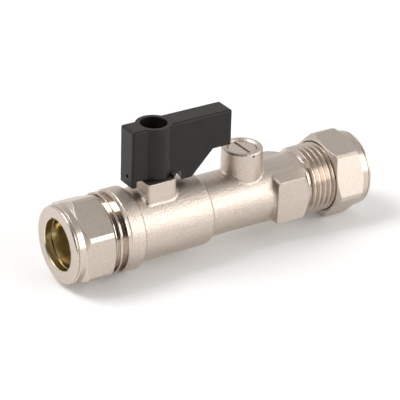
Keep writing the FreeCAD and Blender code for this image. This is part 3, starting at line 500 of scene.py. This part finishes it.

# %% [markdown]
# ## Nickel plate
#
# The body is forged brass, blasted to an even grain and then nickel plated, so it is a warm grey that never
# mirrors sharply. Its thread is cut on a lathe before plating and is smoother. The nuts keep a finer grain
# on their flats and are turned at their round outer ends, and the connector, the plug and the stem are
# turned all over. Rubbed corners are paler, and corners that little light reaches are darkened as painted
# shade.
# The bores stay plain brass. One function makes all three finishes: limits along X choose between grain and
# rings, and a radius finds the bore, so no mask has to be painted.

# %% Nickel finishes
NICKEL = rgb(0.66, 0.575, 0.50)
NICKEL_PATCH = rgb(0.57, 0.49, 0.425)
NICKEL_WORN = rgb(0.80, 0.74, 0.68)
# Painted shade: the darker nickel put into corners that little light reaches.
NICKEL_PAINTED_SHADE = rgb(0.40, 0.335, 0.28)
BRASS = rgb(0.91, 0.80, 0.53)
SPECKLE_RANGE = (0.55, 0.95)
BORE_ROUGH = 0.22
BLAST_PLAY = 0.05
RING_PLAY = 0.04
RING_DEPTH = 0.006 * MM
BODY_START = 7.2 * MM
THREAD_START = 69.8 * MM
BODY_BORE = 8.2 * MM
NUT_BORE = 7.75 * MM
NUT_COLLAR = 3.1 * MM
SOFT = 0.05 * MM


def plated(name, grain, bore, turned_rough, blasted=None):
    """Nickel on brass, turned, with plain brass nearer to the axis than the bore's radius. Where blasted
    gives a start and an end along X, a grain of some depth and roughness takes the place of the rings."""
    material, tree, shader, place = start_finish(name, Metallic=1.0)
    radius, x = axis_radius(tree, place)
    shot = effect(tree, "grain", {"Vector": place, "Grains per metre": grain})["Height"]
    rings = effect(tree, "turning", {"Vector": place})["Height"]
    edges = effect(tree, "edges", {"Vector": place})
    coat = mix(tree, spread(tree, shot, *SPECKLE_RANGE), NICKEL_PATCH, NICKEL)
    coat = mix(tree, edges["Wear"], coat, NICKEL_WORN)
    # Painted shade: the colour darkens where ambient occlusion finds corners.
    coat = mix(tree, effect(tree, "crevices", {})["Painted shade"], coat, NICKEL_PAINTED_SHADE)
    rough = rough_about(tree, rings, RING_RANGE, turned_rough, RING_PLAY)
    normal = bump(tree, rings, RING_DEPTH, edges["Normal"], RING_STRENGTH)
    if blasted:
        before = spread(tree, x, blasted["start"] + SOFT, blasted["start"] - SOFT)
        after = spread(tree, x, blasted["end"] - SOFT, blasted["end"] + SOFT)
        turned = calc(tree, "MAXIMUM", before, after)
        grain_rough = rough_about(tree, shot, GRAIN_RANGE, blasted["rough"], BLAST_PLAY)
        grain_normal = bump(tree, shot, blasted["depth"], edges["Normal"], GRAIN_STRENGTH)
        rough = mix(tree, turned, grain_rough, rough, "FLOAT")
        normal = mix(tree, turned, grain_normal, normal, "VECTOR")
    inside = spread(tree, radius, bore + SOFT, bore - SOFT)
    colour = mix(tree, inside, coat, BRASS)
    rough = mix(tree, inside, rough, BORE_ROUGH, "FLOAT")
    join(tree, shader.inputs, {"Base Color": colour, "Roughness": rough, "Normal": normal})
    return material


forged = {"start": BODY_START, "end": THREAD_START, "depth": 0.2 * MM, "rough": 0.34}
nut_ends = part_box("inlet_nut")[0].x + NUT_COLLAR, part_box("outlet_nut")[1].x - NUT_COLLAR
flats = {"start": nut_ends[0], "end": nut_ends[1], "depth": 0.09 * MM, "rough": 0.32}
blasted_nickel = plated("blasted_nickel", grain=2000.0, bore=BODY_BORE, turned_rough=0.22, blasted=forged)
nut_nickel = plated("nut_nickel", grain=2400.0, bore=NUT_BORE, turned_rough=0.24, blasted=flats)
turned_nickel = plated("turned_nickel", grain=3200.0, bore=BODY_BORE, turned_rough=0.16)
dress(["valve_body"], blasted_nickel)
dress(["inlet_nut", "outlet_nut"], nut_nickel)
dress(["end_connector", "test_plug", "valve_stem"], turned_nickel)

# %% [markdown]
# ## Brass, chrome and steel
#
# The olives are plain turned brass, the only yellow that shows. The ball is polished and chromed, because a
# scratch would cut its seats. The lever's screw and washer, the circlip and the spring are plain steel. One
# function makes all three, because bare metals differ only in colour, roughness and the depth of their
# rings.

# %% Other metals
BRASS_DEEP = rgb(0.86, 0.74, 0.46)
CHROME, CHROME_DEEP = rgb(0.72, 0.73, 0.74), rgb(0.68, 0.69, 0.71)
STEEL, STEEL_DEEP = rgb(0.56, 0.56, 0.55), rgb(0.48, 0.47, 0.46)
METAL_GRAINS = 4000.0
METAL_EDGE = 0.12 * MM
METAL_PLAY = 0.04


def bare_metal(name, colour, second, rough, ring_depth):
    """A bare metal: two tones in slow patches, turning rings, and corners rubbed half way to white."""
    material, tree, shader, place = start_finish(name, Metallic=1.0)
    grain = effect(tree, "grain", {"Vector": place, "Grains per metre": METAL_GRAINS})
    rings = effect(tree, "turning", {"Vector": place})["Height"]
    edges = effect(tree, "edges", {"Vector": place, "Radius": METAL_EDGE})
    pale = rgb(*(0.5 + 0.5 * part for part in colour[:3]))
    tone = mix(tree, edges["Wear"], mix(tree, grain["Patch"], colour, second), pale)
    level = rough_about(tree, grain["Height"], GRAIN_RANGE, rough, METAL_PLAY)
    normal = bump(tree, rings, ring_depth, edges["Normal"], RING_STRENGTH)
    join(tree, shader.inputs, {"Base Color": tone, "Roughness": level, "Normal": normal})
    return material


turned_brass = bare_metal("turned_brass", BRASS, BRASS_DEEP, rough=0.21, ring_depth=0.003 * MM)
chromed_ball = bare_metal("chromed_ball", CHROME, CHROME_DEEP, rough=0.08, ring_depth=0.0005 * MM)
plain_steel = bare_metal("plain_steel", STEEL, STEEL_DEEP, rough=0.3, ring_depth=0.003 * MM)
dress(["inlet_olive", "outlet_olive"], turned_brass)
dress(["ball"], chromed_ball)
dress(["handle_screw", "handle_screw_washer", "check_circlip"], plain_steel)

# %% [markdown]
# ## The check spring
#
# A spring gets shorter when the poppet opens, and a rigid solid can't show that. So a drawn coil stands for
# the solid one, in the same place, and is hung on the body. A round wire is a circle carried along a helix:
# each circle lies across the helix's own direction.

# %% Check spring
SPRING_WIRE = 0.25 * MM
SPRING_TURNS = 4.5
SPRING_STEPS = 144
WIRE_SIDES = 12


def coil(start, length, radius):
    """Points c(t) + wire (cos b out + sin b across): c is a helix round X, out points from the axis to the
    wire's middle, and across is the helix's direction x out."""
    share = np.linspace(0.0, 1.0, SPRING_STEPS)[:, None]
    angle = 2.0 * np.pi * SPRING_TURNS * share
    none = np.zeros_like(share)
    out = np.hstack([none, np.sin(angle), -np.cos(angle)])
    round_axis = np.hstack([none, np.cos(angle), np.sin(angle)])
    middle = np.hstack([start + length * share, none, none]) + radius * out
    along = np.array([length, 0.0, 0.0]) + 2.0 * np.pi * SPRING_TURNS * radius * round_axis
    across = np.cross(along / np.linalg.norm(along, axis=1, keepdims=True), out)
    turn = np.linspace(0.0, 2.0 * np.pi, WIRE_SIDES, endpoint=False)[None, :, None]
    return middle[:, None] + SPRING_WIRE * (np.cos(turn) * out[:, None] + np.sin(turn) * across[:, None])


low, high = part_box("check_spring")
spring_length = high.x - low.x
coil_radius = (high.y - low.y) / 2 - SPRING_WIRE
wire_points = coil(low.x + SPRING_WIRE, spring_length - 2 * SPRING_WIRE, coil_radius)
last_ring = (SPRING_STEPS - 1) * WIRE_SIDES
wire_ends = [tuple(range(WIRE_SIDES))[::-1], tuple(range(last_ring, last_ring + WIRE_SIDES))]
wire_faces = grid_faces(SPRING_STEPS, WIRE_SIDES).tolist() + wire_ends
spring = new_piece("drawn_check_spring", wire_points, wire_faces)
spring.data.materials.append(plain_steel)
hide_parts("check_spring")
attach(spring, "valve_body")
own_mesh(spring)
print("spring", round(spring_length / MM, 2), "mm long")

# %% [markdown]
# ## Plastic and rubber
#
# The lever is moulded from filled nylon. It is not quite black, has a fine matt grain from its mould, and is
# paler where corners are handled. The seats are white, the check insert's pieces are ivory, and the O-rings
# and the poppet's seal are black rubber with a greasy sheen. A mould's grain is shallow, so the same noise
# that roughens blasted metal is used here with a fraction of the depth.

# %% Plastics
MOULD_EDGE = 0.25 * MM
MOULD_PLAY = 0.06


def moulded(name, colours, rough, grains, depth):
    """A moulded surface: mould grain in the height, two tones in slow patches, and a third on the corners."""
    material, tree, shader, place = start_finish(name, Specular_IOR_Level=0.3)
    mould = effect(tree, "grain", {"Vector": place, "Grains per metre": grains})
    edges = effect(tree, "edges", {"Vector": place, "Radius": MOULD_EDGE})
    first, second, handled = colours
    tone = mix(tree, edges["Wear"], mix(tree, mould["Patch"], first, second), handled)
    level = rough_about(tree, mould["Height"], GRAIN_RANGE, rough, MOULD_PLAY)
    normal = bump(tree, mould["Height"], depth, edges["Normal"], GRAIN_STRENGTH)
    join(tree, shader.inputs, {"Base Color": tone, "Roughness": level, "Normal": normal})
    return material


BLACK = rgb(0.010, 0.0085, 0.0075), rgb(0.014, 0.012, 0.0105), rgb(0.03, 0.028, 0.026)
WHITE = rgb(0.86, 0.86, 0.84), rgb(0.80, 0.80, 0.78), rgb(0.9, 0.9, 0.88)
IVORY = rgb(0.80, 0.78, 0.70), rgb(0.74, 0.72, 0.64), rgb(0.86, 0.85, 0.79)
RUBBER = rgb(0.018, 0.018, 0.018), rgb(0.026, 0.026, 0.026), rgb(0.04, 0.04, 0.04)
black_nylon = moulded("black_nylon", BLACK, rough=0.38, grains=3000.0, depth=0.02 * MM)
seat_white = moulded("seat_white", WHITE, rough=0.4, grains=2500.0, depth=0.004 * MM)
insert_ivory = moulded("insert_ivory", IVORY, rough=0.42, grains=2500.0, depth=0.006 * MM)
ring_rubber = moulded("ring_rubber", RUBBER, rough=0.38, grains=5000.0, depth=0.004 * MM)
dress(["lever_handle"], black_nylon)
dress(["inlet_ball_seat", "outlet_ball_seat", "stem_thrust_washer"], seat_white)
dress(["check_housing", "check_guide", "check_poppet"], insert_ivory)
rubber_nodes = ["connector_oring", "stem_oring_lower", "stem_oring_upper", "check_housing_oring"]
dress(rubber_nodes + ["poppet_seal", "test_plug_oring"], ring_rubber)
